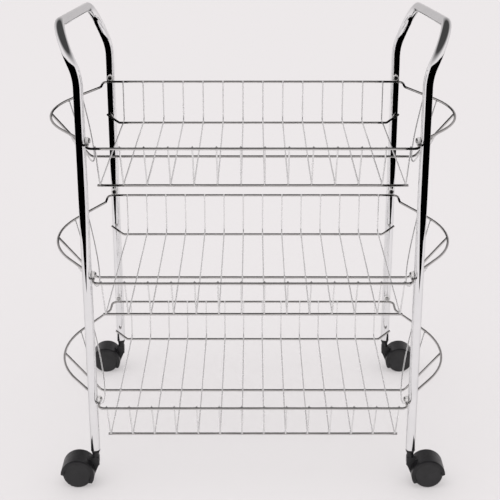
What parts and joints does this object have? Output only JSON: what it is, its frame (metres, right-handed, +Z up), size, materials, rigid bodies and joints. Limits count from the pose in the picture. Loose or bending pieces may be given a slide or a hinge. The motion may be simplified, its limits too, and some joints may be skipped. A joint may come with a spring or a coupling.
{
  "type": "wire shelf cart",
  "caption": "Rolling cart of bent chrome tube with stacked open wire baskets, push handles at both ends and swivelling twin-wheel casters.",
  "frame": {"origin": "on the floor under the middle of the cart", "axes": "+Z up, +X to the right-hand handle, +Y to the back"},
  "size_m": [0.66, 0.4402, 0.7599],
  "materials": {
    "chrome_tube": "bright chrome-plated steel tube",
    "basket_wire": "bright chrome-plated steel wire",
    "screw_steel": "zinc-plated steel",
    "caster_steel": "turned steel, blackened and oiled",
    "socket_plastic": "moulded black plastic",
    "caster_plastic": "moulded black plastic, slightly satin",
    "wheel_plastic": "moulded black plastic, smooth tread"
  },
  "bodies": {
    "root": {"left_side_frame": "chrome_tube", "right_side_frame": "chrome_tube", "lower_basket_rim": "basket_wire", "lower_basket_floor_wires": "basket_wire", "lower_basket_front_wire": "basket_wire", "lower_basket_middle_wire": "basket_wire", "lower_basket_rear_wire": "basket_wire", "lower_basket_right_side_wires": "basket_wire", "lower_basket_left_side_wires": "basket_wire", "lower_basket_lugs": "basket_wire", "lower_basket_screws": "screw_steel", "middle_basket_rim": "basket_wire", "middle_basket_floor_wires": "basket_wire", "middle_basket_front_wire": "basket_wire", "middle_basket_middle_wire": "basket_wire", "middle_basket_rear_wire": "basket_wire", "middle_basket_right_side_wires": "basket_wire", "middle_basket_left_side_wires": "basket_wire", "middle_basket_lugs": "basket_wire", "middle_basket_screws": "screw_steel", "upper_basket_rim": "basket_wire", "upper_basket_floor_wires": "basket_wire", "upper_basket_front_wire": "basket_wire", "upper_basket_middle_wire": "basket_wire", "upper_basket_rear_wire": "basket_wire", "upper_basket_right_side_wires": "basket_wire", "upper_basket_left_side_wires": "basket_wire", "upper_basket_lugs": "basket_wire", "upper_basket_screws": "screw_steel", "front_left_leg_socket": "socket_plastic", "front_left_caster_stem": "caster_steel", "front_right_leg_socket": "socket_plastic", "front_right_caster_stem": "caster_steel", "rear_left_leg_socket": "socket_plastic", "rear_left_caster_stem": "caster_steel", "rear_right_leg_socket": "socket_plastic", "rear_right_caster_stem": "caster_steel"},
    "front_left_caster": {"front_left_caster_hood": "caster_plastic", "front_left_caster_axle": "caster_steel"},
    "front_left_caster_front_wheel_body": {"front_left_caster_front_wheel": "wheel_plastic"},
    "front_left_caster_rear_wheel_body": {"front_left_caster_rear_wheel": "wheel_plastic"},
    "front_right_caster": {"front_right_caster_hood": "caster_plastic", "front_right_caster_axle": "caster_steel"},
    "front_right_caster_front_wheel_body": {"front_right_caster_front_wheel": "wheel_plastic"},
    "front_right_caster_rear_wheel_body": {"front_right_caster_rear_wheel": "wheel_plastic"},
    "rear_left_caster": {"rear_left_caster_hood": "caster_plastic", "rear_left_caster_axle": "caster_steel"},
    "rear_left_caster_front_wheel_body": {"rear_left_caster_front_wheel": "wheel_plastic"},
    "rear_left_caster_rear_wheel_body": {"rear_left_caster_rear_wheel": "wheel_plastic"},
    "rear_right_caster": {"rear_right_caster_hood": "caster_plastic", "rear_right_caster_axle": "caster_steel"},
    "rear_right_caster_front_wheel_body": {"rear_right_caster_front_wheel": "wheel_plastic"},
    "rear_right_caster_rear_wheel_body": {"rear_right_caster_rear_wheel": "wheel_plastic"}
  },
  "joints": [
    {"name": "front_left_swivel", "type": "hinge", "parent": "root", "child": "front_left_caster", "pos_m": [-0.256, -0.2, 0.044], "axis": [0, 0, 1], "continuous": true},
    {"name": "front_left_front_wheel_spin", "type": "hinge", "parent": "front_left_caster", "child": "front_left_caster_front_wheel_body", "pos_m": [-0.285, -0.2106, 0.024], "axis": [0, 1, 0], "continuous": true},
    {"name": "front_left_rear_wheel_spin", "type": "hinge", "parent": "front_left_caster", "child": "front_left_caster_rear_wheel_body", "pos_m": [-0.285, -0.1894, 0.024], "axis": [0, 1, 0], "continuous": true},
    {"name": "front_right_swivel", "type": "hinge", "parent": "root", "child": "front_right_caster", "pos_m": [0.256, -0.2, 0.044], "axis": [0, 0, 1], "continuous": true},
    {"name": "front_right_front_wheel_spin", "type": "hinge", "parent": "front_right_caster", "child": "front_right_caster_front_wheel_body", "pos_m": [0.285, -0.2106, 0.024], "axis": [0, 1, 0], "continuous": true},
    {"name": "front_right_rear_wheel_spin", "type": "hinge", "parent": "front_right_caster", "child": "front_right_caster_rear_wheel_body", "pos_m": [0.285, -0.1894, 0.024], "axis": [0, 1, 0], "continuous": true},
    {"name": "rear_left_swivel", "type": "hinge", "parent": "root", "child": "rear_left_caster", "pos_m": [-0.256, 0.2, 0.044], "axis": [0, 0, 1], "continuous": true},
    {"name": "rear_left_front_wheel_spin", "type": "hinge", "parent": "rear_left_caster", "child": "rear_left_caster_front_wheel_body", "pos_m": [-0.285, 0.1894, 0.024], "axis": [0, 1, 0], "continuous": true},
    {"name": "rear_left_rear_wheel_spin", "type": "hinge", "parent": "rear_left_caster", "child": "rear_left_caster_rear_wheel_body", "pos_m": [-0.285, 0.2106, 0.024], "axis": [0, 1, 0], "continuous": true},
    {"name": "rear_right_swivel", "type": "hinge", "parent": "root", "child": "rear_right_caster", "pos_m": [0.256, 0.2, 0.044], "axis": [0, 0, 1], "continuous": true},
    {"name": "rear_right_front_wheel_spin", "type": "hinge", "parent": "rear_right_caster", "child": "rear_right_caster_front_wheel_body", "pos_m": [0.285, 0.1894, 0.024], "axis": [0, 1, 0], "continuous": true},
    {"name": "rear_right_rear_wheel_spin", "type": "hinge", "parent": "rear_right_caster", "child": "rear_right_caster_rear_wheel_body", "pos_m": [0.285, 0.2106, 0.024], "axis": [0, 1, 0], "continuous": true}
  ]
}
